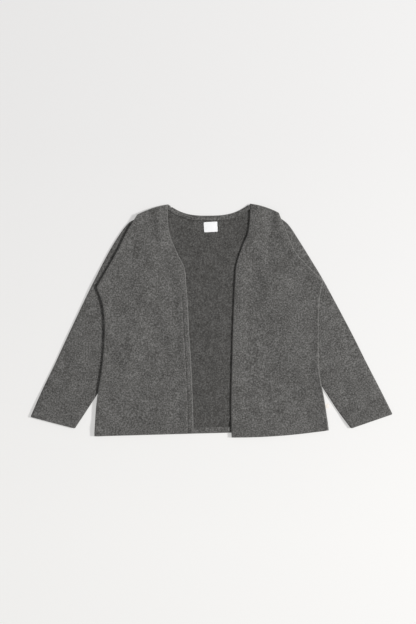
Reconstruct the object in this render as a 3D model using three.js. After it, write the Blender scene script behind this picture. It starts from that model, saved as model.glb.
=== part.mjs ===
// An open-front knit bolero of boiled wool jersey, laid flat on its back with its sleeves brought down
// beside it. Millimetres: +X to the wearer's left, +Y towards the neck, +Z up from the surface it lies on.
//
// Each panel is one wall of cloth. A net of points lies on the middle of the cloth, and the wall is that
// net moved out by half the cloth's thickness on both sides and closed round its edges. The fronts lie on
// the back, the sides of the body lie on the folded sleeves, and the free edges are turned in.

import * as THREE from "three";

// ---- The cloth and how it is sewn
const cloth = 2.2; // thickness of the boiled jersey
const seamGap = 0.3; // left between two pieces that are sewn together
const foldGap = 0.4; // inside a turned hem
const hemTurn = 15; // width of cloth turned in at the hem, the front edges and the cuffs
const bandWidth = 12; // the strip that faces the back neck
const bandSetBack = 1; // from the neck's cut edge to the strip
const bandClear = 1.5; // from the strip's ends to the front edges

// ---- How the layers lie
const airGap = 0.8; // between the back and the fronts lying on it
const restGap = 0.5; // between a sleeve and the body lying on it
const sleeveLoft = 3.6; // from the middle of a sleeve's under layer to the middle of its upper one
const cuffLoft = 7.6; // the same at the cuff, where both layers are turned in
const sleeveCrown = 1.2; // how far the upper layer rises between the sleeve's folds
const bunchHeight = 2.2; // the underarm's bunched cloth lifts what lies on it by this much
const bunchReach = 62; // and fades out over this distance
const shelf = 18; // the body stays up this far past a sleeve's hidden edge
const slope = 62; // and then comes down to the surface over this distance
const stackSlope = 20; // a front comes down over this distance beside its turned edges

// ---- Label and tag
const label = { width: 34, height: 25.5, thick: 1, x: -1, y: 234, turn: 3, corner: 1.5 };
const tag = { width: 11, reach: 9, thick: 1.2, step: 0.88, turn: 8, corner: 1 };

// ---- The body, a row for each section from hem to shoulder. Side is the side seam and then the armhole,
// edge the front opening and then the neckline, and X is measured out from the middle of the garment.
const halves = {
  right: {
    hand: -1,
    shoulderBow: 4,
    hemBow: 0,
    sections: [
      { at: "hem", sideX: 292, sideY: -288, edgeX: 44, edgeY: -281 },
      { at: "hip", sideX: 286, sideY: -205, edgeX: 46, edgeY: -200 },
      { at: "waist", sideX: 272, sideY: -115, edgeX: 50, edgeY: -110 },
      { at: "rib", sideX: 266, sideY: -30, edgeX: 55, edgeY: -30 },
      { at: "bust", sideX: 270, sideY: 35, edgeX: 58, edgeY: 35 },
      { at: "underarm", sideX: 285, sideY: 82, edgeX: 62, edgeY: 85 },
      { at: "chest", sideX: 262, sideY: 122, edgeX: 66, edgeY: 128 },
      { at: "yoke", sideX: 235, sideY: 170, edgeX: 86, edgeY: 170 },
      { at: "collar", sideX: 209, sideY: 222, edgeX: 105, edgeY: 222 },
      { at: "shoulder", sideX: 184, sideY: 259.5, edgeX: 109, edgeY: 290 },
    ],
    sleeve: [
      { at: "head", outerX: 175, outerY: 256.5, innerX: 148, innerY: 244 },
      { at: "crown", outerX: 205, outerY: 245, innerX: 158, innerY: 222 },
      { at: "cap", outerX: 235, outerY: 206, innerX: 172, innerY: 176 },
      { at: "upper", outerX: 263, outerY: 158, innerX: 184, innerY: 121 },
      { at: "underarm", outerX: 288, outerY: 109, innerX: 192, innerY: 64 },
      { at: "biceps", outerX: 318, outerY: 48, innerX: 204, innerY: -6 },
      { at: "elbow", outerX: 363, outerY: -48, innerX: 236, innerY: -107 },
      { at: "forearm", outerX: 393, outerY: -113, innerX: 274, innerY: -168 },
      { at: "wrist", outerX: 423, outerY: -175, innerX: 312, innerY: -227 },
      { at: "cuff", outerX: 452, outerY: -242, innerX: 341, innerY: -271 },
    ],
  },
  left: {
    hand: 1,
    shoulderBow: 4,
    hemBow: -5,
    sections: [
      { at: "hem", sideX: 294, sideY: -272, edgeX: 51, edgeY: -291 },
      { at: "hip", sideX: 284, sideY: -205, edgeX: 50, edgeY: -205 },
      { at: "waist", sideX: 270, sideY: -125, edgeX: 52, edgeY: -115 },
      { at: "rib", sideX: 268, sideY: -40, edgeX: 54, edgeY: -30 },
      { at: "bust", sideX: 270, sideY: 45, edgeX: 57, edgeY: 45 },
      { at: "underarm", sideX: 279, sideY: 98, edgeX: 60, edgeY: 105 },
      { at: "chest", sideX: 248, sideY: 126, edgeX: 63, edgeY: 138 },
      { at: "yoke", sideX: 211, sideY: 168, edgeX: 77, edgeY: 182 },
      { at: "collar", sideX: 190, sideY: 215, edgeX: 93, edgeY: 222 },
      { at: "shoulder", sideX: 168, sideY: 266, edgeX: 99, edgeY: 292 },
    ],
    sleeve: [
      { at: "head", outerX: 164, outerY: 261.5, innerX: 134, innerY: 249 },
      { at: "crown", outerX: 193, outerY: 240, innerX: 146, innerY: 213 },
      { at: "cap", outerX: 222, outerY: 197, innerX: 163, innerY: 163 },
      { at: "upper", outerX: 250, outerY: 152, innerX: 177, innerY: 112 },
      { at: "underarm", outerX: 279, outerY: 104, innerX: 190, innerY: 56 },
      { at: "biceps", outerX: 309, outerY: 49, innerX: 202, innerY: -12 },
      { at: "elbow", outerX: 354, outerY: -36, innerX: 234, innerY: -100 },
      { at: "forearm", outerX: 391, outerY: -110, innerX: 279, innerY: -168 },
      { at: "wrist", outerX: 424, outerY: -174, innerX: 316, innerY: -225 },
      { at: "cuff", outerX: 454, outerY: -235, innerX: 350, innerY: -271 },
    ],
  },
};
const underarm = 5; // the section where the side seam turns into the armhole
const neckDip = 29; // the back neck lies this far below the line between the neck points
const neckFullness = 2.8; // how square the back neck's curve is

// ---- How finely the nets are divided
const rim = 5.6; // the plain width of a panel stops this far inside its outline
const stripEnd = hemTurn + 2.5; // a panel keeps its height this far in from a turned edge
const fullSlope = 150; // a section narrower than this has the slope's column nearer its edge
const sharpest = 0.6; // keeps the reach of a sharp corner short
const rowSteps = [0, 0.2, 0.45, 1, 1.6, 2.3, 3, 3.6, 4.2, 4.6, 5, 5.5, 6, 6.5, 7, 7.5, 8, 8.5, 9];
const acrossHalf = [0, 0.13, 0.26, 0.39, 0.52, 0.65];
const acrossGap = [0.17, 0.34, 0.5, 0.66, 0.83]; // between the two front edges, on the back alone
const acrossBand = [0, 0.06, 0.14, ...acrossGap, 0.86, 0.94, 1]; // along the neck band
const quarterTurn = [0, Math.PI / 4, Math.PI / 2];
const halfTurn = [0, 1, 2, 3, 4].map((i) => (i * Math.PI) / 4);
const cuffSettle = 0.36; // a sleeve reaches its cuff height this share of a section before its end
const crownStop = 0.5; // and its upper layer is flat from this share of a section before it

const flat = (x, y) => new THREE.Vector2(x, y);
const ease = (x) => 1 - THREE.MathUtils.smoothstep(x, 0, 1); // falls from 1 at 0 to 0 at 1
const mix = (a, b, share) => a.clone().lerp(b, share);

// ---- Plan shapes

// A smooth line through one pair of columns of a table, from its first row to its last.
function lineThrough(rows, xColumn, yColumn, hand) {
  const line = new THREE.SplineCurve(rows.map((row) => flat(hand * row[xColumn], row[yColumn])));
  return (step) => line.getPoint(step / (rows.length - 1));
}

for (const half of Object.values(halves)) {
  const { sections, sleeve, hand } = half;
  const side = lineThrough(sections.slice(0, underarm + 1), "sideX", "sideY", hand);
  const armhole = lineThrough(sections.slice(underarm), "sideX", "sideY", hand);
  half.side = (step) => (step < underarm ? side(step) : armhole(step - underarm));
  half.edge = lineThrough(sections, "edgeX", "edgeY", hand);
  half.outer = lineThrough(sleeve, "outerX", "outerY", hand);
  half.inner = lineThrough(sleeve, "innerX", "innerY", hand);
  half.edgeLine = rowSteps.map(half.edge);
  half.hemLine = [half.side(0), half.edge(0)];
  const down = sleeve.map((_, i) => half.outer(i));
  const back = sleeve.map((_, i) => half.inner(sleeve.length - 1 - i));
  half.footprint = [...down, ...back];
}

const backHem = [halves.right.side(0), halves.left.side(0)];

function distanceToLine(points, x, y) {
  const near = new THREE.Vector3();
  let least = Infinity;
  for (let i = 1; i < points.length; i++) {
    const piece = new THREE.Line3(
      new THREE.Vector3(points[i - 1].x, points[i - 1].y, 0),
      new THREE.Vector3(points[i].x, points[i].y, 0),
    );
    piece.closestPointToPoint(new THREE.Vector3(x, y, 0), true, near);
    least = Math.min(least, Math.hypot(near.x - x, near.y - y));
  }
  return least;
}

function isInside(outline, x, y) {
  let inside = false;
  outline.forEach((a, i) => {
    const b = outline[(i + 1) % outline.length];
    const crosses = a.y > y !== b.y > y && x < a.x + ((b.x - a.x) * (y - a.y)) / (b.y - a.y);
    if (crosses) inside = !inside;
  });
  return inside;
}

// ---- Heights of the middle of each layer above the surface

// Bunched cloth at the underarms, which lifts the sleeve's upper layer and the body above it.
function bunch(x, y) {
  return Object.values(halves).reduce((height, half) => {
    const corner = half.side(underarm);
    return height + bunchHeight * ease(Math.hypot(x - corner.x, y - corner.y) / bunchReach);
  }, 0);
}

// How far the body is held up by the sleeves under its sides.
function lift(x, y) {
  const onSleeve = sleeveLoft + cloth + restGap;
  const heights = Object.values(halves).map(({ footprint }) => {
    const away = isInside(footprint, x, y) ? 0 : distanceToLine([...footprint, footprint[0]], x, y);
    return onSleeve * ease((away - shelf) / slope);
  });
  return Math.max(...heights) + bunch(x, y);
}

const backHeight = (x, y) => cloth / 2 + lift(x, y);

// A front lies on the back, and rises over its own turned edges and over the back's turned hem.
function frontHeight(half, x, y) {
  const layer = cloth + foldGap;
  const overEdge = layer * ease((distanceToLine(half.edgeLine, x, y) - stripEnd) / stackSlope);
  const fromHem = Math.min(distanceToLine(half.hemLine, x, y), distanceToLine(backHem, x, y));
  const overHem = 2 * layer * ease((fromHem - stripEnd) / stackSlope);
  return backHeight(x, y) + cloth + airGap + Math.max(overEdge, overHem);
}

// ---- Walls of cloth

// A net's points hold their place, the way the cloth faces there, and are joined in four-sided cells.
class Net {
  constructor() {
    this.points = [];
    this.cells = [];
  }

  add(x, y, z, facing) {
    return this.points.push({ place: new THREE.Vector3(x, y, z), facing }) - 1;
  }

  join(a, b, c, d) {
    this.cells.push([a, b, c, d]);
  }

  // The closed wall: both faces, and a rim along every side that only one cell has.
  wall(thickness) {
    const count = this.points.length;
    const moved = [1, -1].flatMap((way) =>
      this.points.map(({ place, facing }) => place.clone().addScaledVector(facing, (way * thickness) / 2)),
    );
    const sides = new Map();
    const faces = [];
    for (const cell of this.cells) {
      const [a, b, c, d] = cell;
      faces.push([a, b, c], [a, c, d]);
      faces.push([c, b, a].map((i) => i + count), [d, c, a].map((i) => i + count));
      cell.forEach((from, i) => {
        const to = cell[(i + 1) % 4];
        if (!sides.delete(`${to} ${from}`)) sides.set(`${from} ${to}`, [from, to]);
      });
    }
    for (const [from, to] of sides.values()) {
      faces.push([to, from, from + count], [to, from + count, to + count]);
    }
    return closed(moved, faces);
  }
}

// A geometry of these faces, turned to face outwards.
function closed(places, faces) {
  const volume = faces.reduce((sum, [a, b, c]) => {
    return sum + places[a].dot(new THREE.Vector3().crossVectors(places[b], places[c]));
  }, 0);
  const index = faces.flatMap((face) => (volume < 0 ? [...face].reverse() : face));
  const geometry = new THREE.BufferGeometry().setFromPoints(places);
  geometry.setIndex(index);
  geometry.computeVertexNormals();
  return geometry;
}

// The direction out of an outline at each corner, long enough to keep an even distance from its sides.
function outwards(outline) {
  return outline.map((here, i) => {
    const before = outline[(i + outline.length - 1) % outline.length];
    const after = outline[(i + 1) % outline.length];
    const normals = [here.clone().sub(before), after.clone().sub(here)].map((along) => {
      return flat(along.y, -along.x).normalize();
    });
    const way = normals[0].clone().add(normals[1]).normalize();
    return way.divideScalar(Math.max(way.dot(normals[0]), sharpest));
  });
}

// How the cloth ends at an outline, as steps of distance inwards, depth below the panel and turn.
// A seam rolls over to meet its neighbour, a fold turns right round and back in, and a cut just stops.
function ending(kind, drop) {
  const half = cloth / 2;
  if (kind === "cut") return [{ inset: 0, depth: 0, turn: 0 }];
  const radius = kind === "seam" ? drop : (cloth + foldGap) / 2;
  const steps = (kind === "seam" ? quarterTurn : halfTurn).map((turn) => ({
    inset: half + radius * (1 - Math.sin(turn)),
    depth: radius * (1 - Math.cos(turn)),
    turn,
  }));
  if (kind === "fold") steps.push({ inset: hemTurn, depth: 2 * radius, turn: Math.PI });
  return steps;
}

// A panel from rows of plan points whose first and last rows and columns are its outline. way is 1 where
// its outside faces up and -1 where it faces down, and kindAt says how it ends at a point of the outline.
function panel({ rows, way, height, seamHeight, kindAt }) {
  const net = new Net();
  const last = { row: rows.length - 1, column: rows[0].length - 1 };
  const round = [
    ...rows[0].map((_, j) => [0, j]),
    ...rows.slice(1).map((_, i) => [i + 1, last.column]),
    ...rows[0].slice(1).map((_, j) => [last.row, last.column - 1 - j]),
    ...rows.slice(1, -1).map((_, i) => [last.row - 1 - i, 0]),
  ];
  const outline = round.map(([i, j]) => rows[i][j]);
  const clockwise = THREE.ShapeUtils.isClockWise(outline);
  const out = outwards(outline).map((direction) => direction.multiplyScalar(clockwise ? -1 : 1));
  const place = new Map(round.map(([i, j], k) => [`${i} ${j}`, k]));
  const up = new THREE.Vector3(0, 0, way);

  const ids = rows.map((row, i) =>
    row.map((point, j) => {
      const k = place.get(`${i} ${j}`);
      const at = k === undefined ? point : point.clone().addScaledVector(out[k], -rim);
      return net.add(at.x, at.y, height(at.x, at.y), up);
    }),
  );
  for (let i = 0; i < last.row; i++) {
    for (let j = 0; j < last.column; j++) {
      net.join(ids[i][j], ids[i][j + 1], ids[i + 1][j + 1], ids[i + 1][j]);
    }
  }

  const skirts = round.map(([i, j], k) => {
    const { x, y } = outline[k];
    const drop = Math.abs(height(x, y) - seamHeight(x, y)) - seamGap / 2;
    const facing = new THREE.Vector3(out[k].x, out[k].y, 0).normalize();
    const steps = ending(kindAt(i, j), drop).map(({ inset, depth, turn }) => {
      const at = outline[k].clone().addScaledVector(out[k], -inset);
      const turned = up.clone().multiplyScalar(Math.cos(turn)).addScaledVector(facing, Math.sin(turn));
      const level = inset === hemTurn ? height(at.x, at.y) : height(x, y);
      return net.add(at.x, at.y, level - way * depth, turned);
    });
    return [ids[i][j], ...steps];
  });
  skirts.forEach((here, k) => {
    const next = skirts[(k + 1) % skirts.length];
    for (let s = 1; s < Math.min(here.length, next.length); s++) {
      net.join(here[s - 1], here[s], next[s], next[s - 1]);
    }
  });
  return net.wall(cloth);
}

// ---- The panels' plan points

// One half's points at a step up the body, from the side to the front edge.
function halfRow(half, step) {
  const from = half.side(step);
  const to = half.edge(step);
  const width = from.distanceTo(to);
  const nearEdge = [stripEnd + stackSlope * Math.min(1, width / fullSlope), stripEnd];
  const shares = [...acrossHalf, ...nearEdge.map((distance) => 1 - distance / width), 1];
  const top = rowSteps.at(-1);
  const bow = step === top ? half.shoulderBow : step === 0 ? half.hemBow : 0;
  return shares.map((share) => mix(from, to, share).add(flat(0, bow * 4 * share * (1 - share))));
}

// The back's points at a step up the body, from the right side to the left. Its hem runs straight from
// side to side, and its neck dips between the two fronts.
function backRow(step) {
  const { right, left } = halves;
  const rightPoints = halfRow(right, step);
  const leftPoints = halfRow(left, step).reverse();
  const from = rightPoints.at(-1);
  const to = leftPoints[0];
  const dip = neckDip * THREE.MathUtils.smoothstep(step, underarm, rowSteps.at(-1));
  const middle = acrossGap.map((share) => {
    const depth = 1 - Math.abs(2 * share - 1) ** neckFullness;
    return mix(from, to, share).add(flat(0, -dip * depth));
  });
  const row = [...rightPoints, ...middle, ...leftPoints];
  if (step > 0) return row;
  const [start, end] = [row[0], row.at(-1)];
  return row.map((point) => mix(start, end, (point.x - start.x) / (end.x - start.x)));
}

// A front's columns run from right to left like the back's, so that their facets lie alike.
function front(half) {
  const rows = rowSteps.map((step) => halfRow(half, step));
  if (half.hand > 0) rows.forEach((row) => row.reverse());
  const lastRow = rows.length - 1;
  const lastColumn = rows[0].length - 1;
  const [sideColumn, edgeColumn] = half.hand < 0 ? [0, lastColumn] : [lastColumn, 0];
  return panel({
    rows,
    way: 1,
    height: (x, y) => frontHeight(half, x, y),
    seamHeight: (x, y) => (frontHeight(half, x, y) + backHeight(x, y)) / 2,
    kindAt: (i, j) => {
      const onHem = i === 0 && j !== sideColumn;
      const onEdge = j === edgeColumn && i < lastRow;
      return onHem || onEdge ? "fold" : "seam";
    },
  });
}

function back() {
  const rows = rowSteps.map(backRow);
  const lastRow = rows.length - 1;
  const lastColumn = rows[0].length - 1;
  const corner = acrossHalf.length + 2; // the column of the right neck point
  return panel({
    rows,
    way: -1,
    height: backHeight,
    seamHeight: (x, y) => {
      const half = x < 0 ? halves.right : halves.left;
      return (frontHeight(half, x, y) + backHeight(x, y)) / 2;
    },
    kindAt: (i, j) => {
      if (i === 0 && j > 0 && j < lastColumn) return "fold";
      const onNeck = i === lastRow && j > corner && j < lastColumn - corner;
      return onNeck ? "cut" : "seam";
    },
  });
}

// ---- Sleeves

// One ring of a flattened sleeve, round from the outer fold along the under layer, over the inner fold and
// back along the upper layer. inset moves the ring inwards, for the cuff's turned hem.
function ring({ outer, inner, loft, inset, crown }) {
  const across = inner.clone().sub(outer);
  const width = across.length();
  const facing = across.normalize();
  const radius = loft / 2;
  const near = radius + cloth / 2;
  const layer = [0, 0.25, 0.5, 0.75, 1].map((share) => near + share * (width - 2 * near));
  const side = [1, 2, 3].map((i) => (i * Math.PI) / 4);
  const path = [
    ...layer.map((along) => ({ along, turn: -Math.PI / 2 })),
    ...side.map((turn) => ({ along: width - near, turn: turn - Math.PI / 2 })),
    ...layer.toReversed().map((along) => ({ along, turn: Math.PI / 2 })),
    ...side.map((turn) => ({ along: near, turn: turn + Math.PI / 2 })),
  ];
  return path.map(({ along, turn }) => {
    const level = Math.sin(turn);
    const at = outer.clone().addScaledVector(facing, along + (radius - inset) * Math.cos(turn));
    const share = (along - near) / (width - 2 * near);
    const rise = level > 0 ? crown * level * Math.sin(Math.PI * share) + level * bunch(at.x, at.y) : 0;
    const z = cloth / 2 + radius + (radius - inset) * level + rise;
    const out = new THREE.Vector3(facing.x * Math.cos(turn), facing.y * Math.cos(turn), level);
    return { x: at.x, y: at.y, z, out };
  });
}

function sleeve(half) {
  const net = new Net();
  const cuff = half.sleeve.length - 1;
  const steps = [...half.sleeve.keys()].toSpliced(cuff, 0, cuff - cuffSettle);
  const hidden = 5; // down to this step the upper layer lies flat under the body
  const turnRadius = (cloth + foldGap) / 2;
  const along = half.outer(cuff).sub(half.outer(cuff - 1)).normalize();
  const forward = new THREE.Vector3(along.x, along.y, 0);
  const { lerp, smoothstep } = THREE.MathUtils;
  const rising = (step) => (step < cuff - crownStop ? smoothstep(step, hidden, hidden + 2) : 0);
  const sectionAt = (step) => ({
    outer: half.outer(step),
    inner: half.inner(step),
    loft: lerp(sleeveLoft, cuffLoft, smoothstep(step, cuff - 1, cuff - cuffSettle)),
    inset: 0,
    crown: sleeveCrown * rising(step),
  });
  const rings = steps.map((step) => ring(sectionAt(step)).map((point) => ({ ...point, facing: point.out })));

  // The turned hem: right round at the cuff's end and back up inside the sleeve.
  const setBack = cloth / 2 + turnRadius;
  const atCuff = sectionAt(cuff);
  const turned = halfTurn.map((turn) => ({ turn, back: setBack - turnRadius * Math.sin(turn) }));
  turned.push({ turn: Math.PI, back: hemTurn });
  rings.pop();
  for (const { turn, back: distance } of turned) {
    const inset = turnRadius * (1 - Math.cos(turn));
    const points = ring({ ...atCuff, inset }).map((point) => ({
      ...point,
      x: point.x - forward.x * distance,
      y: point.y - forward.y * distance,
      facing: point.out.clone().multiplyScalar(Math.cos(turn)).addScaledVector(forward, Math.sin(turn)),
    }));
    rings.push(points);
  }

  const ids = rings.map((points) => points.map(({ x, y, z, facing }) => net.add(x, y, z, facing)));
  for (let i = 1; i < ids.length; i++) {
    ids[i].forEach((_, j) => {
      const k = (j + 1) % ids[i].length;
      net.join(ids[i - 1][j], ids[i - 1][k], ids[i][k], ids[i][j]);
    });
  }
  return net.wall(cloth);
}

// ---- Small pieces

// The strip of the same cloth that faces the back neck on the inside, between the two front edges.
function neckBand() {
  const net = new Net();
  const top = rowSteps.at(-1);
  const [from, to] = [halves.right.edge(top), halves.left.edge(top)];
  const width = to.x - from.x;
  const up = new THREE.Vector3(0, 0, 1);
  const above = cloth + 2 * seamGap;
  const ids = acrossBand.map((share) => {
    const at = THREE.MathUtils.clamp(share, bandClear / width, 1 - bandClear / width);
    const point = mix(from, to, at);
    const dip = neckDip * (1 - Math.abs(2 * at - 1) ** neckFullness);
    return [bandSetBack, bandWidth].map((inset) => {
      const y = point.y - dip - inset;
      return net.add(point.x, y, backHeight(point.x, y) + above, up);
    });
  });
  for (let i = 1; i < ids.length; i++) {
    net.join(ids[i - 1][1], ids[i][1], ids[i][0], ids[i - 1][0]);
  }
  return net.wall(cloth);
}

// A flat rounded rectangle, standing on z = 0.
function plate(width, height, thick, corner) {
  const [x, y] = [width / 2 - corner, height / 2 - corner];
  const shape = new THREE.Shape();
  shape.absarc(x, y, corner, 0, Math.PI / 2);
  shape.absarc(-x, y, corner, Math.PI / 2, Math.PI);
  shape.absarc(-x, -y, corner, Math.PI, 1.5 * Math.PI);
  shape.absarc(x, -y, corner, 1.5 * Math.PI, 2 * Math.PI);
  return new THREE.ExtrudeGeometry(shape, { depth: thick, bevelEnabled: false, curveSegments: 3 });
}

// ---- The garment
const wool = new THREE.MeshStandardMaterial({ color: "#676663", roughness: 0.95, metalness: 0 });
const white = new THREE.MeshStandardMaterial({ color: "#f2f1ee", roughness: 0.6, metalness: 0 });

function named(name, geometry, material) {
  const mesh = new THREE.Mesh(geometry, material);
  mesh.name = name;
  return mesh;
}

const garment = new THREE.Group();
garment.add(named("back", back(), wool));
for (const [name, half] of Object.entries(halves)) {
  garment.add(named(`front_${name}`, front(half), wool));
  garment.add(named(`sleeve_${name}`, sleeve(half), wool));
}
garment.add(named("neck_band", neckBand(), wool));

const neckLabel = named("neck_label", plate(label.width, label.height, label.thick, label.corner), white);
neckLabel.position.set(label.x, label.y, cloth + seamGap);
neckLabel.rotation.z = THREE.MathUtils.degToRad(label.turn);
garment.add(neckLabel);

const sideTag = named("side_tag", plate(tag.reach, tag.width, tag.thick, tag.corner), white);
const beside = halves.left.side(tag.step);
const seamLevel = (frontHeight(halves.left, beside.x, beside.y) + backHeight(beside.x, beside.y)) / 2;
sideTag.position.set(beside.x + seamGap + tag.reach / 2, beside.y, seamLevel - tag.thick / 2);
sideTag.rotation.z = THREE.MathUtils.degToRad(tag.turn);
garment.add(sideTag);

// The origin is under the middle of the whole garment, on the surface it lies on.
const bounds = new THREE.Box3().setFromObject(garment);
const middle = bounds.getCenter(new THREE.Vector3());
garment.position.set(-middle.x, -middle.y, -bounds.min.z);

const bolero = new THREE.Group();
bolero.add(garment);
export default bolero;
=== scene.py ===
import math

import bpy
import numpy as np
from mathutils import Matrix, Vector, noise


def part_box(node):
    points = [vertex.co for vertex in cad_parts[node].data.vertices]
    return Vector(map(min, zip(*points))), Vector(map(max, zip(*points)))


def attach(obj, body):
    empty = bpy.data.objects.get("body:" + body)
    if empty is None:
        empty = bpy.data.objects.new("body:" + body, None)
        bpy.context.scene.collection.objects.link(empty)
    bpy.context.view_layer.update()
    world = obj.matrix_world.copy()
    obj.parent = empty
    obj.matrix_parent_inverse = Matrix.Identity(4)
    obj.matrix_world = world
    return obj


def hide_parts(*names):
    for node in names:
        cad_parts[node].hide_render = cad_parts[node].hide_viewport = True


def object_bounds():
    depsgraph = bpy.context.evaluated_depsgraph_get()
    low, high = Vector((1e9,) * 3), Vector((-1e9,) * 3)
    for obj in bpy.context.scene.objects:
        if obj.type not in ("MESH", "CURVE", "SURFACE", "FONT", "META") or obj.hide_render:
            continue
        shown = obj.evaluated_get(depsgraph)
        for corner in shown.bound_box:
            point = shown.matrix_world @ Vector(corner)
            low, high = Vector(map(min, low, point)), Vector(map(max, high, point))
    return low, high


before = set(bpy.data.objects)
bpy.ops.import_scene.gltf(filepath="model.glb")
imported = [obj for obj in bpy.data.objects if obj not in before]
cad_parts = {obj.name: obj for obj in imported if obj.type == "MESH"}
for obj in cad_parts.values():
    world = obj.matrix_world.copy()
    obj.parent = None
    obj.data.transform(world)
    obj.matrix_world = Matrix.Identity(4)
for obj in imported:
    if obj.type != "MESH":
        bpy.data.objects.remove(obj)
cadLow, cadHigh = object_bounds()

mm = 0.001

# The boiled wool and how it is sewn, in millimetres like every plan size below
cloth = {
    "thick": 2.2,
    "seamGap": 0.3,
    "foldGap": 0.4,
    "hemTurn": 15,  # turned in at the hem, the front edges and the cuffs
    "rim": 5.6,  # the panels' plain width stops this far inside their outline
}

# How the layers lie on each other
layers = {
    "airGap": 0.8,
    "restGap": 0.5,
    "sleeveLoft": 3.6,
    "cuffLoft": 7.6,
    "sleeveCrown": 1.2,
    "bunchHeight": 2.2,
    "bunchReach": 62,
    "shelf": 18,
    "slope": 62,
    "curlReach": 26,
    "curlEnds": (-215, -160),  # below this a side lies on the surface
    "stackSlope": 26,  # a front comes down from its turned edge over this distance
}

# Right and left are the wearer's. A section runs from its side seam or armhole to its front edge, and a
# sleeve's row from its outer fold to its inner one.
tableColumns = {
    "sections": ("sideX", "sideY", "edgeX", "edgeY"),
    "sleeve": ("outerX", "outerY", "innerX", "innerY"),
}
halves = {
    "right": {
        "hand": -1,
        "hemBow": 0,
        "curl": 2.6,
        "shoulderBow": 4,
        "sections": {
            "hem": (292, -288, 44, -281),
            "hip": (286, -205, 46, -200),
            "waist": (272, -115, 50, -110),
            "rib": (266, -30, 55, -30),
            "bust": (270, 35, 58, 35),
            "underarm": (285, 82, 62, 85),
            "chest": (262, 122, 66, 128),
            "yoke": (235, 170, 86, 170),
            "collar": (209, 222, 105, 222),
            "shoulder": (184, 259.5, 109, 290),
        },
        "sleeve": {
            "head": (175, 256.5, 148, 244),
            "crown": (205, 245, 158, 222),
            "cap": (235, 206, 172, 176),
            "upper": (263, 158, 184, 121),
            "underarm": (288, 109, 192, 64),
            "biceps": (318, 48, 204, -6),
            "elbow": (363, -48, 236, -107),
            "forearm": (393, -113, 274, -168),
            "wrist": (423, -175, 312, -227),
            "cuff": (452, -242, 341, -271),
        },
    },
    "left": {
        "hand": 1,
        "hemBow": -5,
        "curl": 1.8,
        "shoulderBow": 4,
        "sections": {
            "hem": (294, -272, 51, -291),
            "hip": (284, -205, 50, -205),
            "waist": (270, -125, 52, -115),
            "rib": (268, -40, 54, -30),
            "bust": (270, 45, 57, 45),
            "underarm": (279, 98, 60, 105),
            "chest": (248, 126, 63, 138),
            "yoke": (211, 168, 77, 182),
            "collar": (190, 215, 93, 222),
            "shoulder": (168, 266, 99, 292),
        },
        "sleeve": {
            "head": (164, 261.5, 134, 249),
            "crown": (193, 240, 146, 213),
            "cap": (222, 197, 163, 163),
            "upper": (250, 152, 177, 112),
            "underarm": (279, 104, 190, 56),
            "biceps": (309, 49, 202, -12),
            "elbow": (354, -36, 234, -100),
            "forearm": (391, -110, 279, -168),
            "wrist": (424, -174, 316, -225),
            "cuff": (454, -235, 350, -271),
        },
    },
}
underarmStep = 5
topStep = 9

# The plan is drawn about the middle between the hem corners, and the frame says where that is
backLow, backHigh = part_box("back")
hemWidths = [halves[name]["sections"]["hem"][0] for name in ("right", "left")]
planX = (backLow.x + backHigh.x) / 2 / mm - (hemWidths[1] - hemWidths[0]) / 2
planY = backLow.y / mm - halves["right"]["sections"]["hem"][1]
surfaceZ = cadLow.z


def smoothStep(x, low=0.0, high=1.0):
    t = np.clip((np.asarray(x, float) - low) / (high - low), 0, 1)
    return t * t * (3 - 2 * t)


def fallOff(x):
    return 1 - smoothStep(x)


# A smooth line through a table's points, at a step counted in rows
def lineThrough(points, step):
    points = np.asarray(points, float)
    last = len(points) - 1
    step = np.clip(np.asarray(step, float), 0, last)
    at = np.minimum(step.astype(int), last - 1)
    t = (step - at)[..., None]
    before = points[np.maximum(at - 1, 0)]
    here = points[at]
    after = points[at + 1]
    beyond = points[np.minimum(at + 2, last)]
    startPull = (after - before) / 2
    endPull = (beyond - here) / 2
    cubic = (2 * here - 2 * after + startPull + endPull) * t**3
    square = (-3 * here + 3 * after - 2 * startPull - endPull) * t**2
    return cubic + square + startPull * t + here


def planPoints(half, table, column):
    first = tableColumns[table].index(column)
    return [(half["hand"] * row[first], row[first + 1]) for row in half[table].values()]


def sideLine(half, step):
    points = planPoints(half, "sections", "sideX")
    step = np.asarray(step, float)
    seam = lineThrough(points[: underarmStep + 1], np.minimum(step, underarmStep))
    armhole = lineThrough(points[underarmStep:], np.maximum(step - underarmStep, 0))
    return np.where((step < underarmStep)[..., None], seam, armhole)


def edgeLine(half, step):
    return lineThrough(planPoints(half, "sections", "edgeX"), step)


def outerFold(half, step):
    return lineThrough(planPoints(half, "sleeve", "outerX"), step)


def innerFold(half, step):
    return lineThrough(planPoints(half, "sleeve", "innerX"), step)


def distanceTo(line, x, y):
    least = np.full(np.shape(x), 1e9)
    for (ax, ay), (bx, by) in zip(line[:-1], line[1:]):
        dx, dy = bx - ax, by - ay
        t = np.clip(((x - ax) * dx + (y - ay) * dy) / (dx * dx + dy * dy), 0, 1)
        least = np.minimum(least, np.hypot(x - ax - t * dx, y - ay - t * dy))
    return least


def insideOf(outline, x, y):
    inside = np.zeros(np.shape(x), bool)
    for (ax, ay), (bx, by) in zip(outline, np.roll(outline, -1, axis=0)):
        crosses = (ay > y) != (by > y)
        rise = by - ay if by != ay else 1.0
        inside ^= crosses & (x < ax + (bx - ax) * (y - ay) / rise)
    return inside


fineSteps = np.linspace(0, topStep, 37)
for half in halves.values():
    half["edge"] = edgeLine(half, fineSteps)
    half["side"] = sideLine(half, fineSteps)
    half["hem"] = np.array([sideLine(half, 0), edgeLine(half, 0)])
    half["corner"] = sideLine(half, underarmStep)
    half["footprint"] = np.vstack([outerFold(half, fineSteps), innerFold(half, fineSteps[::-1])])
backHem = np.array([sideLine(halves["right"], 0), sideLine(halves["left"], 0)])


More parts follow.
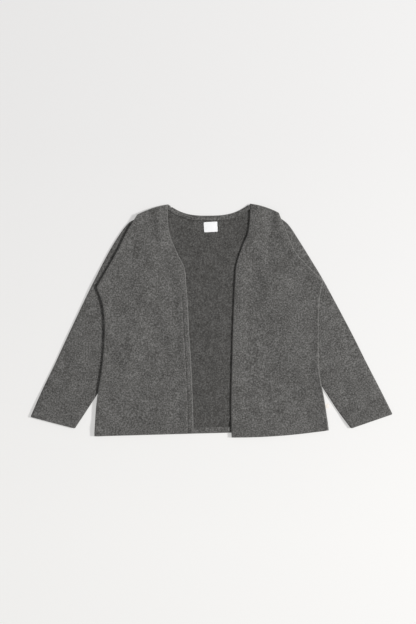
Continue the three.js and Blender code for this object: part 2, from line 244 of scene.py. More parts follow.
# Slow unevenness of laid cloth, between -1 and 1
def waver(x, y, size, seed):
    flatX, flatY = np.ravel(x), np.ravel(y)
    values = [noise.noise(Vector((a / size, b / size, seed))) for a, b in zip(flatX, flatY)]
    return np.reshape(values, np.shape(x))


# Folds and dents, each as fromX, fromY, toX, toY, halfWidth and height
folds = {
    "front_right": {
        "chestRidge": (-186, 92, -92, -32, 15, 2.8),
        "chestTrough": (-212, 74, -120, -56, 17, -1.8),
        "yokeSwell": (-170, 182, -112, 158, 26, 2.8),
        "yokeDent": (-160, 212, -138, 196, 13, -1.5),
        "armholeDent": (-255, 128, -212, 112, 17, -1.5),
        "shoulderRoll": (-128, 272, -124, 205, 20, 2.2),
        "waistSwell": (-205, -70, -150, -168, 30, 1.5),
        "hemSwell": (-100, -120, -118, -240, 24, 1.2),
        "sideTrough": (-252, -92, -262, -190, 15, -1.2),
        "edgeTrough": (-86, 60, -84, -60, 13, -0.9),
    },
    "front_left": {
        "armholeRoll": (163, 246, 182, 190, 12, 2.6),
        "armholeTrough": (148, 262, 146, 148, 13, -2.4),
        "sideTrough": (258, 70, 254, -110, 9, -1.2),
        "chestRidge": (170, 110, 110, 20, 20, 1.5),
        "chestTrough": (208, 92, 168, -8, 18, -1.2),
        "tagTrough": (238, -126, 264, -204, 13, -1.9),
        "tagRidge": (262, -110, 284, -180, 9, 1.0),
        "waistSwell": (150, -60, 176, -160, 30, 1.5),
        "hemSwell": (112, -150, 108, -250, 26, 1.1),
        "neckRoll": (112, 262, 84, 190, 13, 1.2),
    },
    "sleeve_right": {
        "elbowDent": (-372, -104, -338, -152, 14, -1.6),
        "elbowRidge": (-352, -60, -318, -128, 12, 1.1),
        "upperRidge": (-292, 60, -322, -20, 12, 1.0),
        "cuffSwell": (-420, -190, -392, -236, 16, 0.9),
    },
    "sleeve_left": {
        "elbowDent": (340, -92, 372, -140, 14, -1.3),
        "upperRidge": (288, 60, 318, -20, 12, 1.1),
        "forearmRidge": (380, -112, 412, -186, 12, 1.0),
        "innerDent": (322, -148, 346, -206, 10, -0.9),
        "armholeTrough": (184, 224, 262, 112, 13, -1.4),
    },
    "back": {
        "middleTrough": (-6, 150, 8, -40, 22, -0.5),
        "middleRidge": (22, 40, 14, -160, 16, 0.9),
        "neckSwell": (-30, 205, 34, 196, 16, 0.8),
        "hemRidge": (-20, -150, -14, -230, 13, 0.8),
    },
}


# Unevenness of three sizes that runs all over the cloth
unevenness = [
    {"size": 46, "height": 0.55, "seed": 0},
    {"size": 15, "height": 0.28, "seed": 5},
    {"size": 5, "height": 0.1, "seed": 9},
]


def relief(name, x, y):
    total = np.zeros(np.shape(x))
    for fromX, fromY, toX, toY, halfWidth, height in folds[name].values():
        away = distanceTo([(fromX, fromY), (toX, toY)], x, y)
        total += height * np.exp(-((away / halfWidth) ** 2))
    start = 3.7 * len(name) + ord(name[-1])  # each piece is uneven in places of its own
    for part in unevenness:
        total += part["height"] * waver(x, y, part["size"], start + part["seed"])
    return total


def bunch(x, y):
    total = np.zeros(np.shape(x))
    for half in halves.values():
        away = np.hypot(x - half["corner"][0], y - half["corner"][1])
        total += layers["bunchHeight"] * fallOff(away / layers["bunchReach"])
    return total


# The body's sides stand a little off the sleeves, because of the seams inside them
def curl(x, y):
    total = np.zeros(np.shape(x))
    for half in halves.values():
        total += half["curl"] * fallOff(distanceTo(half["side"], x, y) / layers["curlReach"])
    return total * smoothStep(y, *layers["curlEnds"])


# How far the body is held up by the sleeves under its sides
def lift(x, y):
    onSleeve = layers["sleeveLoft"] + cloth["thick"] + layers["restGap"]
    heights = []
    for half in halves.values():
        around = half["footprint"]
        away = distanceTo(np.vstack([around, around[:1]]), x, y)
        away = np.where(insideOf(around, x, y), 0, away)
        heights.append(onSleeve * fallOff((away - layers["shelf"]) / layers["slope"]))
    return np.maximum(*heights) + bunch(x, y) + curl(x, y)


def backHeight(x, y):
    return cloth["thick"] / 2 + lift(x, y)


def frontHeight(half, x, y):
    layer = cloth["thick"] + cloth["foldGap"]
    strip = cloth["hemTurn"] + 1
    overEdge = layer * fallOff((distanceTo(half["edge"], x, y) - strip) / layers["stackSlope"])
    fromHem = np.minimum(distanceTo(half["hem"], x, y), distanceTo(backHem, x, y))
    overHem = 2 * layer * fallOff((fromHem - strip) / layers["stackSlope"])
    return backHeight(x, y) + cloth["thick"] + layers["airGap"] + np.maximum(overEdge, overHem)


# Points on the middle of a wall of cloth, with the way the outside faces there and the share of painted edge
# highlight each takes, joined in cells
class Net:
    def __init__(self):
        self.places = []
        self.facings = []
        self.paintedEdgeHighlight = []
        self.cells = []

    def add(self, places, facings, paintedEdgeHighlight=0.0):
        start = len(self.places)
        self.places.extend(places)
        self.facings.extend(facings)
        self.paintedEdgeHighlight.extend(np.broadcast_to(paintedEdgeHighlight, len(places)))
        return np.arange(start, len(self.places))

    def join(self, here, there, closed=False):
        count = len(here)
        for j in range(count if closed else count - 1):
            k = (j + 1) % count
            self.cells.append((here[j], here[k], there[k], there[j]))

    # The closed wall as a mesh. Its outside takes the first material and its inside the second.
    def sew(self, name, thick, materials):
        places = np.array(self.places)
        facings = np.array(self.facings)
        count = len(places)
        points = np.vstack([places + facings * thick / 2, places - facings * thick / 2])
        faces = []
        slots = []
        borders = {}
        for cell in self.cells:
            faces.append(cell)
            faces.append(tuple(i + count for i in reversed(cell)))
            slots += [0, 1]
            for a, b in zip(cell, cell[1:] + cell[:1]):
                if (b, a) in borders:
                    del borders[(b, a)]
                else:
                    borders[(a, b)] = True
        for a, b in borders:
            faces.append((b, a, a + count, b + count))
            slots.append(0)
        piece = makePiece(name, points, faces, materials, slots)
        # The painted edge highlight: 1 where the cloth's surface turns fully sideways at a rim, 0 on its flat
        # faces
        layer = piece.data.attributes.new("paintedEdgeHighlight", "FLOAT", "POINT")
        layer.data.foreach_set("value", np.tile(self.paintedEdgeHighlight, 2).astype(np.float32))
        return piece


# A piece from plan points in millimetres
def makePiece(name, points, faces, materials, slots=None):
    points = (np.asarray(points) + [planX, planY, surfaceZ / mm]) * mm
    mesh = bpy.data.meshes.new(name)
    mesh.from_pydata(points.tolist(), [], [tuple(int(i) for i in face) for face in faces])
    for material in materials:
        mesh.materials.append(material)
    if slots:
        mesh.polygons.foreach_set("material_index", slots)
    mesh.update()
    volume = signedVolume(mesh)
    if volume < 0:
        mesh.flip_normals()
    mesh.shade_smooth()
    mesh.set_sharp_from_angle(angle=math.radians(55))
    piece = bpy.data.objects.new(name, mesh)
    bpy.context.scene.collection.objects.link(piece)
    return piece


def signedVolume(mesh):
    mesh.calc_loop_triangles()
    points = np.array([v.co for v in mesh.vertices])
    corners = np.array([t.vertices for t in mesh.loop_triangles])
    a, b, c = points[corners[:, 0]], points[corners[:, 1]], points[corners[:, 2]]
    return float(np.sum(a * np.cross(b, c)))


# Away from a closed outline at each of its points, longer at corners so that its sides keep their distance
def outwards(outline):
    before = np.roll(outline, 1, axis=0)
    after = np.roll(outline, -1, axis=0)
    ways = []
    for along in (outline - before, after - outline):
        way = np.column_stack([along[:, 1], -along[:, 0]])
        ways.append(way / np.maximum(np.linalg.norm(way, axis=1), 1e-9)[:, None])
    middle = ways[0] + ways[1]
    middle /= np.linalg.norm(middle, axis=1)[:, None]
    area = np.sum(outline[:, 0] * after[:, 1] - after[:, 0] * outline[:, 1])
    sharpest = 0.6  # keeps the reach of a sharp corner short
    sharpness = np.maximum(np.sum(middle * ways[0], axis=1), sharpest)
    return middle / sharpness[:, None] * (1 if area > 0 else -1)


# Steps of (inset, depth, turn) by which the cloth ends at a seam, a fold or a cut
def ending(kind, drop):
    half = cloth["thick"] / 2
    if kind == "cut":
        return [(0.6, 0.0, 0.0), (0.0, 0.12, 0.5)]
    radius = drop if kind == "seam" else (cloth["thick"] + cloth["foldGap"]) / 2
    turns = np.linspace(0, math.pi / 2 if kind == "seam" else math.pi, 5 if kind == "seam" else 9)
    steps = [(half + radius * (1 - math.sin(t)), radius * (1 - math.cos(t)), t) for t in turns]
    if kind == "fold":
        inner = np.linspace(half + radius, cloth["hemTurn"], 5)[1:]
        steps += [(inset, 2 * radius, math.pi) for inset in inner]
    return steps


# A panel from a grid of plan points that stops a rim's width inside its outline
def sewPanel(name, grid, way, height, seamHeight, kindAt, materials):
    net = Net()
    rows, columns = grid.shape[:2]
    z = height(grid[..., 0], grid[..., 1])
    up = np.array([0, 0, way], float)
    ids = []
    for i in range(rows):
        ids.append(net.add(np.column_stack([grid[i], z[i]]), np.tile(up, (columns, 1))))
    for here, there in zip(ids, ids[1:]):
        net.join(here, there)
    turnsRound = [(0, j) for j in range(columns)]
    turnsRound += [(i, columns - 1) for i in range(1, rows)]
    turnsRound += [(rows - 1, j) for j in range(columns - 2, -1, -1)]
    turnsRound += [(i, 0) for i in range(rows - 2, 0, -1)]
    base = np.array([grid[i, j] for i, j in turnsRound])
    out = outwards(base)
    outline = base + out * cloth["rim"]
    level = height(outline[:, 0], outline[:, 1])
    drops = np.abs(level - seamHeight(outline[:, 0], outline[:, 1])) - cloth["seamGap"] / 2
    rings = []
    for k, (i, j) in enumerate(turnsRound):
        facing = np.array([*out[k], 0.0])
        facing /= np.linalg.norm(facing)
        kind = kindAt(i, j, rows, columns)
        places, facings, paintedEdgeHighlight = [], [], []
        for inset, depth, turn in ending(kind, max(drops[k], 0.4)):
            at = outline[k] - out[k] * inset
            deep = inset > cloth["rim"] and kind == "fold"
            ground = float(height(at[:1], at[1:])[0]) if deep else level[k]
            places.append((at[0], at[1], ground - way * depth))
            facings.append(up * math.cos(turn) + facing * math.sin(turn))
            # Painted edge highlight, strongest where the rim faces sideways
            paintedEdgeHighlight.append(math.sin(turn) ** 2)
        rings.append([ids[i][j], *net.add(places, facings, paintedEdgeHighlight)])
    for here, there in zip(rings, rings[1:] + rings[:1]):
        for s in range(1, min(len(here), len(there))):
            net.cells.append((here[s - 1], here[s], there[s], there[s - 1]))
    return net.sew(name, cloth["thick"], materials)


# Steps up the body for a grid that keeps a rim's width from hem and shoulder
def bodySteps(count):
    hemSection, shoulderSection = 83, 42  # millimetres from the end rows of the table to their neighbours
    return np.linspace(cloth["rim"] / hemSection, topStep - cloth["rim"] / shoulderSection, count)


def halfGrid(half, steps, shares, rimAtEdge=True):
    side = sideLine(half, steps)
    edge = edgeLine(half, steps)
    width = np.linalg.norm(edge - side, axis=1)
    first = cloth["rim"] / width
    last = 1 - first if rimAtEdge else np.ones_like(first)
    share = first[:, None] + (last - first)[:, None] * shares[None, :]
    grid = side[:, None] + (edge - side)[:, None] * share[..., None]
    bowing = 4 * share * (1 - share)
    bowReach = 0.8  # the curve of a hem or shoulder fades out over this share of a section
    hemPart = fallOff(steps / bowReach)[:, None]
    shoulderPart = fallOff((topStep - steps) / bowReach)[:, None]
    grid[..., 1] += bowing * (half["hemBow"] * hemPart + half["shoulderBow"] * shoulderPart)
    return grid


# Columns are closer together over the turned strip beside a front edge
panelGrid = {"rows": 150, "wideColumns": 62, "stripColumns": 24, "stripShare": 0.1, "gapColumns": 46}
columnShares = np.concatenate([
    np.linspace(0, 1 - panelGrid["stripShare"], panelGrid["wideColumns"]),
    np.linspace(1 - panelGrid["stripShare"], 1, panelGrid["stripColumns"] + 1)[1:],
])
neckline = {"dip": 29, "fullness": 2.8}


# The stitching that holds a turned front edge pulls a shallow line into the cloth below the neckline
stitchLine = {
    "front_right": {"inset": 13.5, "depth": 1.5, "halfWidth": 1.8, "top": 85, "fade": 40},
    "front_left": {"inset": 13.5, "depth": 0.2, "halfWidth": 1.5, "top": 85, "fade": 40},
}
edgePress = {"reach": 22, "least": 0.35}  # folds are pressed lower this near a front edge


def makeFront(name, half, materials):
    steps = bodySteps(panelGrid["rows"])
    grid = halfGrid(half, steps, columnShares)
    groove = stitchLine[name]

    def height(x, y):
        fromEdge = distanceTo(half["edge"], x, y)
        shown = edgePress["least"] + (1 - edgePress["least"]) * smoothStep(fromEdge, 0, edgePress["reach"])
        stitched = smoothStep(groove["top"] - y, 0, groove["fade"])
        aside = (fromEdge - groove["inset"]) / groove["halfWidth"]
        pulled = groove["depth"] * stitched * np.exp(-(aside**2))
        return frontHeight(half, x, y) + relief(name, x, y) * shown - pulled

    def seamHeight(x, y):
        return (frontHeight(half, x, y) + backHeight(x, y)) / 2

    def kindAt(i, j, rows, columns):
        onHem = i == 0 and j > 0
        onEdge = j == columns - 1 and i < rows - 1
        return "fold" if onHem or onEdge else "seam"

    return sewPanel(name + "_panel", grid, 1, height, seamHeight, kindAt, materials)


def makeBack(materials):
    steps = bodySteps(panelGrid["rows"])
    right = halfGrid(halves["right"], steps, columnShares, False)
    left = halfGrid(halves["left"], steps, columnShares, False)[:, ::-1]
    share = np.linspace(0, 1, panelGrid["gapColumns"] + 2)[1:-1]
    middle = right[:, -1:] + (left[:, :1] - right[:, -1:]) * share[None, :, None]
    dip = neckline["dip"] * smoothStep(steps, underarmStep, topStep)[:, None]
    middle[..., 1] -= dip * (1 - np.abs(2 * share - 1) ** neckline["fullness"])[None, :]
    grid = np.concatenate([right, middle, left], axis=1)
    straightReach = 0.9  # the hem runs straight from side to side, and rows up to here follow it
    straight = fallOff((steps - steps[0]) / straightReach)[:, None]
    first, last = grid[:, :1], grid[:, -1:]
    along = (grid[..., 0] - first[..., 0]) / (last[..., 0] - first[..., 0])
    level = first[..., 1] + (last[..., 1] - first[..., 1]) * along
    grid[..., 1] += (level - grid[..., 1]) * straight
    edgeColumn = len(columnShares)

    def height(x, y):
        deepest = -0.2  # keeps the back clear of what it lies on
        return backHeight(x, y) + np.maximum(relief("back", x, y), deepest)

    def seamHeight(x, y):
        fronts = np.where(x < 0, frontHeight(halves["right"], x, y), frontHeight(halves["left"], x, y))
        return (fronts + backHeight(x, y)) / 2

    def kindAt(i, j, rows, columns):
        if i == 0 and 0 < j < columns - 1:
            return "fold"
        onNeck = i == rows - 1 and edgeColumn < j < columns - edgeColumn
        return "cut" if onNeck else "seam"

    return sewPanel("back_panel", grid, -1, height, seamHeight, kindAt, materials)


sleeveGrid = {"rows": 150, "layerColumns": 36, "foldColumns": 8, "cuffSettle": 0.36}
sleeveShape = {
    "hiddenTo": 4.6,  # down to this step the upper layer lies flat under the body
    "shownFrom": 6.4,
    "cuffFrom": 0.6,  # and it is flatter again near the cuff, which its turned hem stiffens
    "cuffTo": 0.2,
    "cuffFlatter": 0.7,
    "folds": 0.8,
    "deepest": -0.6,
}


# One ring of a flattened sleeve, from the outer fold along the under layer and back along the upper
def sleeveRing(name, outer, inner, loft, inset, crown):
    across = inner - outer
    width = np.linalg.norm(across)
    across = across / width
    radius = loft / 2
    near = radius + cloth["thick"] / 2
    shares = np.linspace(0, 1, sleeveGrid["layerColumns"])
    turns = np.linspace(0, math.pi, sleeveGrid["foldColumns"] + 2)[1:-1]
    along = near + shares * (width - 2 * near)
    alongs = np.concatenate([
        along,
        np.full(len(turns), width - near),
        along[::-1],
        np.full(len(turns), near),
    ])
    turn = np.concatenate([
        np.full(len(along), -math.pi / 2),
        turns - math.pi / 2,
        np.full(len(along), math.pi / 2),
        turns + math.pi / 2,
    ])
    level = np.sin(turn)
    reach = alongs + (radius - inset) * np.cos(turn)
    x = outer[0] + across[0] * reach
    y = outer[1] + across[1] * reach
    share = (alongs - near) / (width - 2 * near)
    upper = np.maximum(level, 0)
    crowned = np.sin(math.pi * share) + relief(name, x, y) * sleeveShape["folds"]
    rise = np.maximum(upper * (crown * crowned + bunch(x, y)), sleeveShape["deepest"] * upper)
    z = cloth["thick"] / 2 + radius + (radius - inset) * level + rise
    facing = np.column_stack([across[0] * np.cos(turn), across[1] * np.cos(turn), level])
    return np.column_stack([x, y, z]), facing


def makeSleeve(name, half, materials):
    net = Net()
    cuff = len(half["sleeve"]) - 1
    settled = cuff - sleeveGrid["cuffSettle"]
    turnRadius = (cloth["thick"] + cloth["foldGap"]) / 2
    forward = outerFold(half, cuff) - outerFold(half, cuff - 1)
    forward = np.array([*(forward / np.linalg.norm(forward)), 0.0])
    setBack = cloth["thick"] / 2 + turnRadius

    def ringAt(step, inset=0.0):
        opening = smoothStep(step, cuff - 1, settled)
        loft = layers["sleeveLoft"] + (layers["cuffLoft"] - layers["sleeveLoft"]) * opening
        shown = smoothStep(step, sleeveShape["hiddenTo"], sleeveShape["shownFrom"])
        stiff = smoothStep(step, cuff - sleeveShape["cuffFrom"], cuff - sleeveShape["cuffTo"])
        crown = layers["sleeveCrown"] * shown * (1 - sleeveShape["cuffFlatter"] * stiff)
        return sleeveRing(name, outerFold(half, step), innerFold(half, step), loft, inset, crown)

    rings = []
    cuffLength = np.linalg.norm(outerFold(half, cuff) - outerFold(half, cuff - 1))
    lastStep = cuff - 1.4 * setBack / cuffLength  # just short of where the cuff starts to turn
    for step in np.linspace(0, lastStep, sleeveGrid["rows"]):
        rings.append((*ringAt(step), 0.0))
    turns = [(t, setBack - turnRadius * math.sin(t)) for t in np.linspace(0, math.pi, 9)]
    turns += [(math.pi, back) for back in np.linspace(setBack, cloth["hemTurn"], 5)[1:]]
    for turn, back in turns:
        places, facings = ringAt(cuff, turnRadius * (1 - math.cos(turn)))
        facing = facings * math.cos(turn) + forward * math.sin(turn)
        # The cuff's turn takes the same painted edge highlight
        rings.append((places - forward * back, facing, math.sin(turn) ** 2))
    ids = [net.add(places, facings, paintedEdgeHighlight) for places, facings, paintedEdgeHighlight in rings]
    for here, there in zip(ids, ids[1:]):
        net.join(here, there, closed=True)
    return net.sew(name + "_tube", cloth["thick"], materials)


# One node with its settings, and links from other nodes' outputs
def addNode(tree, kind, settings=None, values=None, links=None):
    node = tree.nodes.new(kind)
    for key, value in (settings or {}).items():
        setattr(node, key, value)
    for key, value in (values or {}).items():
        node.inputs[key].default_value = value
    for key, source in (links or {}).items():
        tree.links.new(source, node.inputs[key])
    return node


def fromHex(code):
    channels = [int(code[i : i + 2], 16) / 255 for i in (1, 3, 5)]
    linear = [c / 12.92 if c <= 0.04045 else ((c + 0.055) / 1.055) ** 2.4 for c in channels]
    return (*linear, 1.0)


# 1 where a surface or the surround is seen directly, mirrored or through glass, and 0 where it only lights
def seenDirectly(tree):
    path = addNode(tree, "ShaderNodeLightPath").outputs
    mirrored = addNode(
        tree, "ShaderNodeMath", {"operation": "MAXIMUM"},
        links={0: path["Is Camera Ray"], 1: path["Is Glossy Ray"]},
    ).outputs[0]
    return addNode(
        tree, "ShaderNodeMath", {"operation": "MAXIMUM"}, links={0: mirrored, 1: path["Is Transmission Ray"]}
    ).outputs[0]


def emptyMaterial(name):
    material = bpy.data.materials.new(name)
    material.use_nodes = True
    material.node_tree.nodes.clear()
    return material


# Boiled wool jersey: knitted, then felted, so the stitches close up under a short matted nap. To the eye it
# is matt and softly mottled, with pale heather flecks and no shine. Its colour is painted paler where the
# cloth turns over at folded and cut edges, a painted highlight on those rims.
def boiledWool(name, colours, size):
    material = emptyMaterial(name)
    tree = material.node_tree
    place = addNode(tree, "ShaderNodeTexCoord").outputs["Object"]
    clumps = addNode(
        tree, "ShaderNodeTexNoise",
        values={"Scale": 1 / (size["clump"] * mm), "Detail": 3, "Roughness": 0.62},
        links={"Vector": place},
    ).outputs["Fac"]
    patches = addNode(
        tree, "ShaderNodeTexNoise", values={"Scale": 1 / (size["patch"] * mm), "Detail": 2, "Roughness": 0.5},
        links={"Vector": place},
    ).outputs["Fac"]
    flecks = addNode(
        tree, "ShaderNodeTexNoise", values={"Scale": 1 / (size["fleck"] * mm), "Detail": 2, "Roughness": 0.7},
        links={"Vector": place},
    ).outputs["Fac"]
    patchShare = addNode(
        tree, "ShaderNodeMapRange", {}, {"To Min": -0.1, "To Max": 0.1}, {"Value": patches}
    ).outputs["Result"]
    mottle = addNode(tree, "ShaderNodeMath", {"operation": "ADD"}, links={0: patchShare, 1: clumps})
    ramp = addNode(tree, "ShaderNodeValToRGB", links={"Fac": mottle.outputs[0]})
    ramp.color_ramp.elements[0].position = 0.3
    ramp.color_ramp.elements[0].color = fromHex(colours["shade"])
    ramp.color_ramp.elements[1].position = 0.7
    ramp.color_ramp.elements[1].color = fromHex(colours["light"])
    middle = ramp.color_ramp.elements.new(0.5)
    middle.color = fromHex(colours["main"])
    fleckAmount = addNode(
        tree, "ShaderNodeMapRange", {"interpolation_type": "SMOOTHSTEP"},
        {"From Min": 0.54, "From Max": 0.74, "To Min": 0.0, "To Max": 0.5}, {"Value": flecks},
    ).outputs["Result"]
    heather = addNode(
        tree, "ShaderNodeMix", {"data_type": "RGBA"}, {7: fromHex(colours["fleck"])},
        {0: fleckAmount, 6: ramp.outputs["Color"]},
    )
    # Painted highlight: the colour is mixed towards the pale edge colour where the cloth turns over at its
    # rims
    paintedEdgeHighlight = addNode(tree, "ShaderNodeAttribute", {"attribute_name": "paintedEdgeHighlight"}).outputs["Fac"]
    paintedEdgeHighlightAmount = addNode(
        tree, "ShaderNodeMath", {"operation": "MULTIPLY"}, {1: 0.45}, {0: paintedEdgeHighlight}
    ).outputs[0]
    coloured = addNode(
        tree, "ShaderNodeMix", {"data_type": "RGBA"}, {7: fromHex(colours["edge"])},
        {0: paintedEdgeHighlightAmount, 6: heather.outputs[2]},
    )
    lumps = addNode(
        tree, "ShaderNodeBump", values={"Strength": 0.55, "Distance": size["clumpDepth"] * mm},
        links={"Height": clumps},
    )
    nap = addNode(
        tree, "ShaderNodeBump", values={"Strength": 0.5, "Distance": size["napDepth"] * mm},
        links={"Height": flecks, "Normal": lumps.outputs["Normal"]},
    )
    surface = addNode(
        tree, "ShaderNodeBsdfPrincipled",
        values={
            "Roughness": 0.96,
            "IOR": 1.45,
            "Specular IOR Level": 0.2,
            "Sheen Weight": 0.16,
            "Sheen Roughness": 0.55,
            "Sheen Tint": fromHex("#d8d7d4"),
        },
        links={"Base Color": coloured.outputs[2], "Normal": nap.outputs["Normal"]},
    )
    addNode(tree, "ShaderNodeOutputMaterial", links={"Surface": surface.outputs["BSDF"]})
    return material


# Millimetres. Real wool flecks are 0.1 mm wide, too fine to show, so they are drawn as small clumps.
woolSizes = {"clump": 3.6, "patch": 24, "fleck": 1.7, "clumpDepth": 0.9, "napDepth": 0.5}
# The edge colour is the painted highlight on folded and cut rims
outerWool = boiledWool(
    "boiledWoolOutside",
    {"shade": "#3b3a38", "main": "#5c5b59", "light": "#81807e", "fleck": "#8a8987", "edge": "#a3a29f"},
    woolSizes,
)
innerWool = boiledWool(
    "boiledWoolInside",
    {"shade": "#343331", "main": "#4e4d4b", "light": "#6a6967", "fleck": "#727170", "edge": "#8f8e8b"},
    woolSizes,
)


# Damask-woven polyester satin, folded at its ends: white, smooth and slightly lustrous
def wovenSatin(name, colour, ribPitch):
    material = emptyMaterial(name)
    tree = material.node_tree
    place = addNode(tree, "ShaderNodeTexCoord").outputs["Object"]
    ribs = addNode(
        tree, "ShaderNodeTexWave", {"wave_type": "BANDS", "bands_direction": "Y"},
        {"Scale": 1 / (ribPitch * mm) / 3.2, "Distortion": 0.6, "Detail": 1}, {"Vector": place},
    ).outputs["Fac"]
    bump = addNode(
        tree, "ShaderNodeBump", values={"Strength": 0.25, "Distance": 0.15 * mm}, links={"Height": ribs}
    )
    surface = addNode(
        tree, "ShaderNodeBsdfPrincipled",
        values={"Base Color": fromHex(colour), "Roughness": 0.55, "IOR": 1.5, "Specular IOR Level": 0.4},
        links={"Normal": bump.outputs["Normal"]},
    )
    addNode(tree, "ShaderNodeOutputMaterial", links={"Surface": surface.outputs["BSDF"]})
    return material


labelSatin = wovenSatin("labelSatin", "#ffffff", 0.5)
tagSatin = wovenSatin("tagSatin", "#f6efe6", 0.5)
print("materials ready")

wool = [outerWool, innerWool]
pieces = {}
for side, half in halves.items():
    pieces["sleeve_" + side] = makeSleeve("sleeve_" + side, half, wool)
print("sleeves made")
pieces["back"] = makeBack(wool)
for side, half in halves.items():
    pieces["front_" + side] = makeFront("front_" + side, half, wool)
print("body panels made")


neckBand = {
    "columns": 90,
    "rows": 9,
    "setBack": 1,  # from the neck's cut edge to the strip
    "reach": 12,  # and to its lower side
    "clear": 1.5,  # from its ends to the front edges
    "full": 0.5,
    "uneven": {"height": 0.2, "size": 9, "seed": 4},
}


# The facing strip inside the back neck, a little fuller in its middle
def makeNeckBand(materials):
    net = Net()
    start = edgeLine(halves["right"], topStep)
    end = edgeLine(halves["left"], topStep)
    clear = neckBand["clear"] / (end[0] - start[0])
    share = np.linspace(clear, 1 - clear, neckBand["columns"])
    line = start + (end - start) * share[:, None]
    line[:, 1] -= neckline["dip"] * (1 - np.abs(2 * share - 1) ** neckline["fullness"])
    uneven = neckBand["uneven"]
    ids = []
    for across in np.linspace(0, 1, neckBand["rows"]):
        inset = neckBand["setBack"] + across * (neckBand["reach"] - neckBand["setBack"])
        x, y = line[:, 0], line[:, 1] - inset
        above = cloth["thick"] + 2 * cloth["seamGap"] + neckBand["full"] * math.sin(math.pi * across)
        z = backHeight(x, y) + above + uneven["height"] * waver(x, y, uneven["size"], uneven["seed"])
        ids.append(net.add(np.column_stack([x, y, z]), np.tile([0.0, 0.0, 1.0], (len(x), 1))))
    for here, there in zip(ids, ids[1:]):
        net.join(here, there)
    return net.sew("neck_band_strip", cloth["thick"], materials)


pieces["neck_band"] = makeNeckBand(wool)


wovenGrid = {"across": 17, "down": 13, "rounding": 0.03}


# A small woven piece: a rounded rectangle of cloth, slightly bowed up in its middle
def makeWoven(name, sizes, material):
    net = Net()
    turn = math.radians(sizes["turn"])
    ids = []
    for v in np.linspace(-0.5, 0.5, wovenGrid["down"]):
        row = []
        for u in np.linspace(-0.5, 0.5, wovenGrid["across"]):
            tight = max(0.0, abs(2 * u) ** 8 + abs(2 * v) ** 8 - 1)  # above 0 only near the corners
            x = u * sizes["width"] * (1 - wovenGrid["rounding"] * tight)
            y = v * sizes["height"] * (1 - wovenGrid["rounding"] * tight)
            bow = sizes["bow"] * (1 - (2 * u) ** 2) * (1 - (2 * v) ** 2)
            px = sizes["x"] + x * math.cos(turn) - y * math.sin(turn)
            py = sizes["y"] + x * math.sin(turn) + y * math.cos(turn)
            row.append((px, py, sizes["z"] + bow))
        ids.append(net.add(row, [(0.0, 0.0, 1.0)] * len(row)))
    for here, there in zip(ids, ids[1:]):
        net.join(here, there)
    return net.sew(name, sizes["thick"], [material])


labelLow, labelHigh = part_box("neck_label")
label = {
    "width": 34,
    "height": 25.5,
    "turn": 3,
    "bow": 0.5,
    "thick": 0.7,
    "x": (labelLow.x + labelHigh.x) / 2 / mm - planX,
    "y": (labelLow.y + labelHigh.y) / 2 / mm - planY,
    "z": labelLow.z / mm + 1.0,
}
tagLow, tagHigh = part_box("side_tag")
tag = {
    "width": 9,
    "height": 11,
    "turn": 8,
    "bow": 0.4,
    "thick": 0.8,
    "x": (tagLow.x + tagHigh.x) / 2 / mm - planX,
    "y": (tagLow.y + tagHigh.y) / 2 / mm - planY,
    "z": (tagLow.z + tagHigh.z) / 2 / mm,
}
pieces["neck_label"] = makeWoven("neck_label_woven", label, labelSatin)
pieces["side_tag"] = makeWoven("side_tag_woven", tag, tagSatin)
print("neck band, label and tag made")

# A plain pale paper sweep, its colour painted a little whiter towards the bottom as painted light falling
# brighter there. Most of what the camera sees of it is its own colour, so that it stays even, and the rest is
# lit and keeps the garment's shadow.
floorTones = {"top": "#f3f2f1", "bottom": "#fbfaf8", "from": 0.45, "to": -0.55, "ownShare": 0.5}
floorMaterial = emptyMaterial("mattPaper")
floorTree = floorMaterial.node_tree
floorPlace = addNode(floorTree, "ShaderNodeTexCoord").outputs["Object"]
floorAcross = addNode(floorTree, "ShaderNodeSeparateXYZ", links={"Vector": floorPlace}).outputs["Y"]
# Painted light: the paper's colour runs from the top tone to the whiter bottom tone along its height
paintedLightShare = addNode(
    floorTree, "ShaderNodeMapRange", values={"From Min": floorTones["from"], "From Max": floorTones["to"]},
    links={"Value": floorAcross},
).outputs["Result"]
floorColour = addNode(
    floorTree, "ShaderNodeMix", {"data_type": "RGBA"},
    {6: fromHex(floorTones["top"]), 7: fromHex(floorTones["bottom"])}, {0: paintedLightShare},
).outputs[2]
paper = addNode(
    floorTree, "ShaderNodeBsdfPrincipled", values={"Roughness": 0.9, "Specular IOR Level": 0.1},
    links={"Base Color": floorColour},
)
glow = addNode(
    floorTree, "ShaderNodeEmission", values={"Strength": 0.96}, links={"Color": floorColour}
)
ownShare = addNode(
    floorTree, "ShaderNodeMath", {"operation": "MULTIPLY"}, {1: floorTones["ownShare"]},
    {0: seenDirectly(floorTree)},
).outputs[0]
floorMix = addNode(
    floorTree, "ShaderNodeMixShader",
    links={0: ownShare, 1: paper.outputs["BSDF"], 2: glow.outputs["Emission"]},
)
addNode(floorTree, "ShaderNodeOutputMaterial", links={"Surface": floorMix.outputs["Shader"]})
floorReach = 20.0
floorZ = cadLow.z - 0.0002  # just clear of the cloth
corners = [(x * floorReach, y * floorReach, floorZ) for x, y in ((-1, -1), (1, -1), (1, 1), (-1, 1))]
floorMesh = bpy.data.meshes.new("floor")
floorMesh.from_pydata(corners, [], [(0, 1, 2, 3)])
floorMesh.materials.append(floorMaterial)
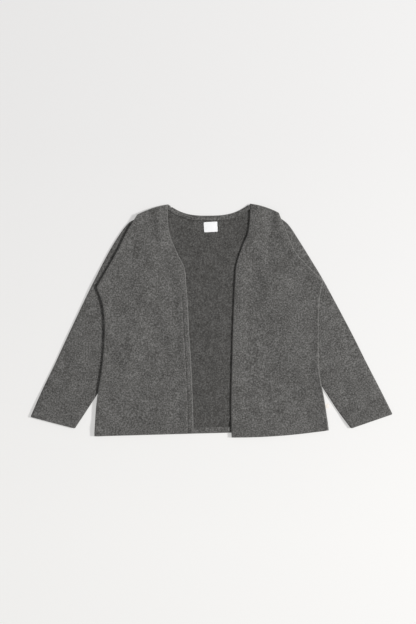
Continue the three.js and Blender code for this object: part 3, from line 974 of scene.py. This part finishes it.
floor = bpy.data.objects.new("floor", floorMesh)
bpy.context.scene.collection.objects.link(floor)

for node, piece in pieces.items():
    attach(piece, "root")
    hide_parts(node)

# Soft daylight from one side, and an even surround
lamps = {
    "window": {"place": (4.75, 0.2, 4.5), "size": 1.0, "power": 372},
    "overhead": {"place": (-0.6, -0.4, 5.0), "size": 4.0, "power": 14},
}
for name, lamp in lamps.items():
    light = bpy.data.lights.new(name, "AREA")
    light.energy = lamp["power"]
    light.size = lamp["size"]
    holder = bpy.data.objects.new(name, light)
    holder.location = lamp["place"]
    holder.rotation_euler = (-Vector(lamp["place"])).to_track_quat("-Z", "Y").to_euler()
    bpy.context.scene.collection.objects.link(holder)

# The surround lights the cloth evenly, and is as pale as the paper where it shows beyond it
surround = {"light": "#fbfbfc", "strength": 0.31, "seen": "#f3f2f1"}
world = bpy.data.worlds.new("surround")
world.use_nodes = True
worldTree = world.node_tree
worldTree.nodes.clear()
lightOnly = addNode(
    worldTree, "ShaderNodeBackground",
    values={"Color": fromHex(surround["light"]), "Strength": surround["strength"]},
).outputs["Background"]
seenOnly = addNode(
    worldTree, "ShaderNodeBackground", values={"Color": fromHex(surround["seen"]), "Strength": 1.0}
).outputs["Background"]
worldMix = addNode(
    worldTree, "ShaderNodeMixShader", links={0: seenDirectly(worldTree), 1: lightOnly, 2: seenOnly}
)
addNode(worldTree, "ShaderNodeOutputWorld", links={"Surface": worldMix.outputs["Shader"]})
bpy.context.scene.world = world

# Straight above the garment
view = {"x": -7.75, "y": 20.6, "lens": 50, "sensor": 36, "frameHeight": 1.56}
camera = bpy.data.objects.new("camera", bpy.data.cameras.new("camera"))
camera.data.lens = view["lens"]
camera.data.sensor_width = view["sensor"]
distance = view["frameHeight"] * view["lens"] / view["sensor"]
camera.location = ((planX + view["x"]) * mm, (planY + view["y"]) * mm, distance + cadHigh.z / 2)
bpy.context.scene.collection.objects.link(camera)
bpy.context.scene.camera = camera
bpy.context.scene.view_settings.view_transform = "Standard"
print("light and camera placed")
